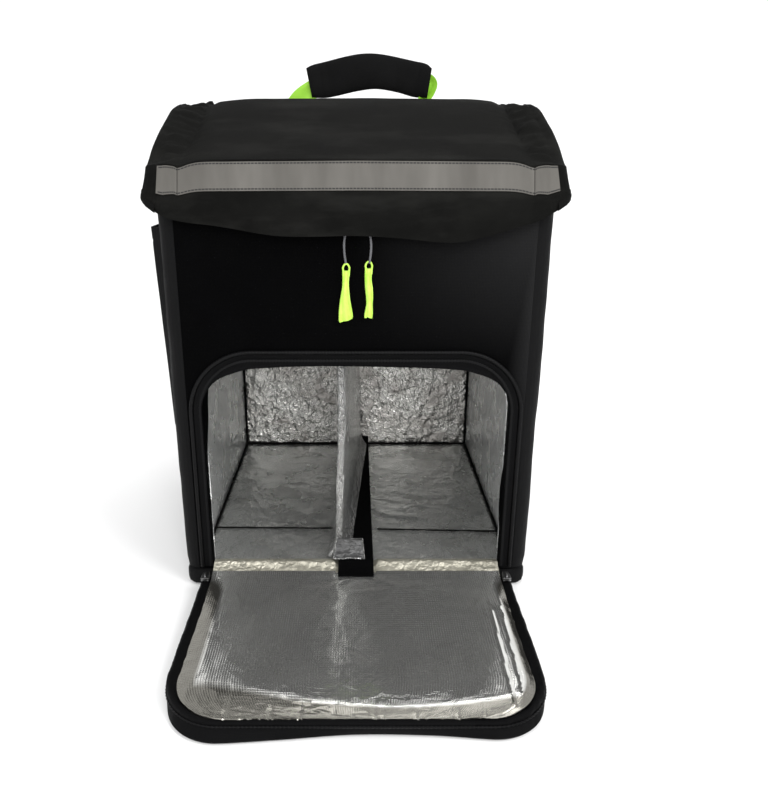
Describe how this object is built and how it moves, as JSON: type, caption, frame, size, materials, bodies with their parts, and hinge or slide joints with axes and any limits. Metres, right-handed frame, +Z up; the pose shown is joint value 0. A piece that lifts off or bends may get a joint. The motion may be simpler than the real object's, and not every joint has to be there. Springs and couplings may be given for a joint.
{
  "type": "insulated delivery backpack",
  "caption": "Boxy insulated backpack on its base, sloped padded lid with reflective band, arched front door laid open on the ground, foil-lined inside with a divider and floor strip.",
  "frame": {"origin": "centre of the flat underside of the base, on the ground", "axes": "+Z up, +Y towards the wearer's back, +X to the right as seen from the front"},
  "size_m": [0.3744, 0.645, 0.5455],
  "materials": {
    "wall_cloth": "black coated woven polyester",
    "front_cloth": "black coarse woven nylon with a faint sheen",
    "door_cloth": "black coated woven polyester",
    "lid_cloth": "charcoal woven polyester, gathered at its seams",
    "binding": "black woven binding tape",
    "foil": "crinkled metallised film on foam",
    "hook_and_loop": "black hook-and-loop tape",
    "zip_tape": "black zip tape with coil teeth",
    "piping": "glossy ribbed piping",
    "reflective": "grey reflective tape",
    "slider_metal": "dark plated zip sliders",
    "pull_cord": "thin grey cord",
    "lime_pull": "lime rubbery pull",
    "lime_webbing": "lime woven webbing",
    "grip_cloth": "black padded wrap",
    "back_mesh": "black air mesh over foam",
    "strap_cloth": "black padded strap cloth",
    "strap_webbing": "black woven webbing",
    "buckle_plastic": "black moulded plastic"
  },
  "bodies": {
    "root": {"base_panel": "wall_cloth", "back_panel": "wall_cloth", "side_panel_left": "wall_cloth", "side_panel_right": "wall_cloth", "side_pocket": "wall_cloth", "strap_anchor_left": "wall_cloth", "strap_anchor_right": "wall_cloth", "front_panel": "front_cloth", "door_panel": "door_cloth", "lid_flap": "lid_cloth", "lid_binding_left": "binding", "lid_binding_right": "binding", "foil_lining": "foil", "divider": "foil", "door_lining": "foil", "door_hinge": "foil", "floor_strip": "hook_and_loop", "door_zip_tape": "zip_tape", "opening_zip_tape": "zip_tape", "top_zip": "zip_tape", "opening_piping": "piping", "reflective_tape": "reflective", "tape_tab_left": "reflective", "tape_tab_right": "reflective", "door_slider_left": "slider_metal", "door_slider_right": "slider_metal", "top_slider_left": "slider_metal", "top_slider_right": "slider_metal", "pull_cord_left": "pull_cord", "pull_cord_right": "pull_cord", "pull_tab_left": "lime_pull", "pull_tab_right": "lime_pull", "handle_webbing": "lime_webbing", "handle_grip": "grip_cloth", "back_pad": "back_mesh", "shoulder_strap_left": "strap_cloth", "shoulder_strap_right": "strap_cloth", "strap_webbing_left": "strap_webbing", "strap_webbing_right": "strap_webbing", "strap_buckle_left": "buckle_plastic", "strap_buckle_right": "buckle_plastic"}
  },
  "joints": []
}
